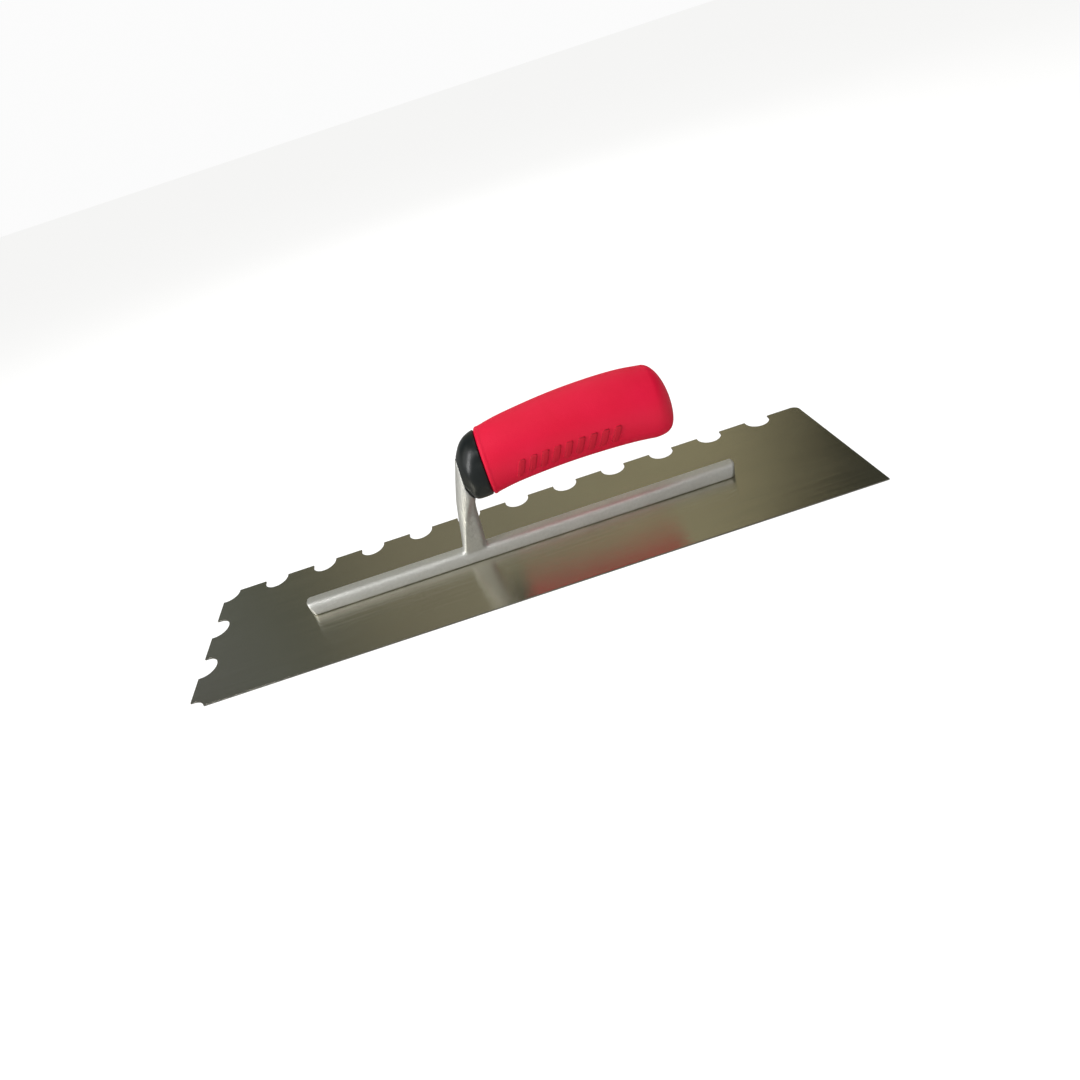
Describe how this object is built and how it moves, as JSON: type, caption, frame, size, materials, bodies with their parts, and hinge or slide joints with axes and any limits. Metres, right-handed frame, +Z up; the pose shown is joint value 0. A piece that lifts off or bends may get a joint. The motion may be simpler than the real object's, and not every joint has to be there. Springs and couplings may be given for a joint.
{
  "type": "notched trowel",
  "caption": "Rectangular steel notched trowel with U notches along one long edge and one end, a cast aluminium mounting and a red soft grip.",
  "frame": {"origin": "middle of the blade's underside, which is the middle of the whole part in plan", "axes": "+X along the blade away from the notched end, +Y across it towards the notched long edge, +Z up towards the handle"},
  "size_m": [0.4064, 0.1016, 0.088],
  "materials": {
    "blade_steel": "polished",
    "cast_aluminium": "satin, as cast and tumbled",
    "rivet_steel": "ground flush",
    "black_plastic": "semi-gloss",
    "red_rubber": "soft-touch satin"
  },
  "bodies": {
    "root": {"blade": "blade_steel", "mounting": "cast_aluminium", "handle_core": "black_plastic", "grip_sleeve": "red_rubber", "rivet_1": "rivet_steel", "rivet_2": "rivet_steel", "rivet_3": "rivet_steel", "rivet_4": "rivet_steel", "rivet_5": "rivet_steel", "rivet_6": "rivet_steel", "rivet_7": "rivet_steel", "rivet_8": "rivet_steel"}
  },
  "joints": []
}
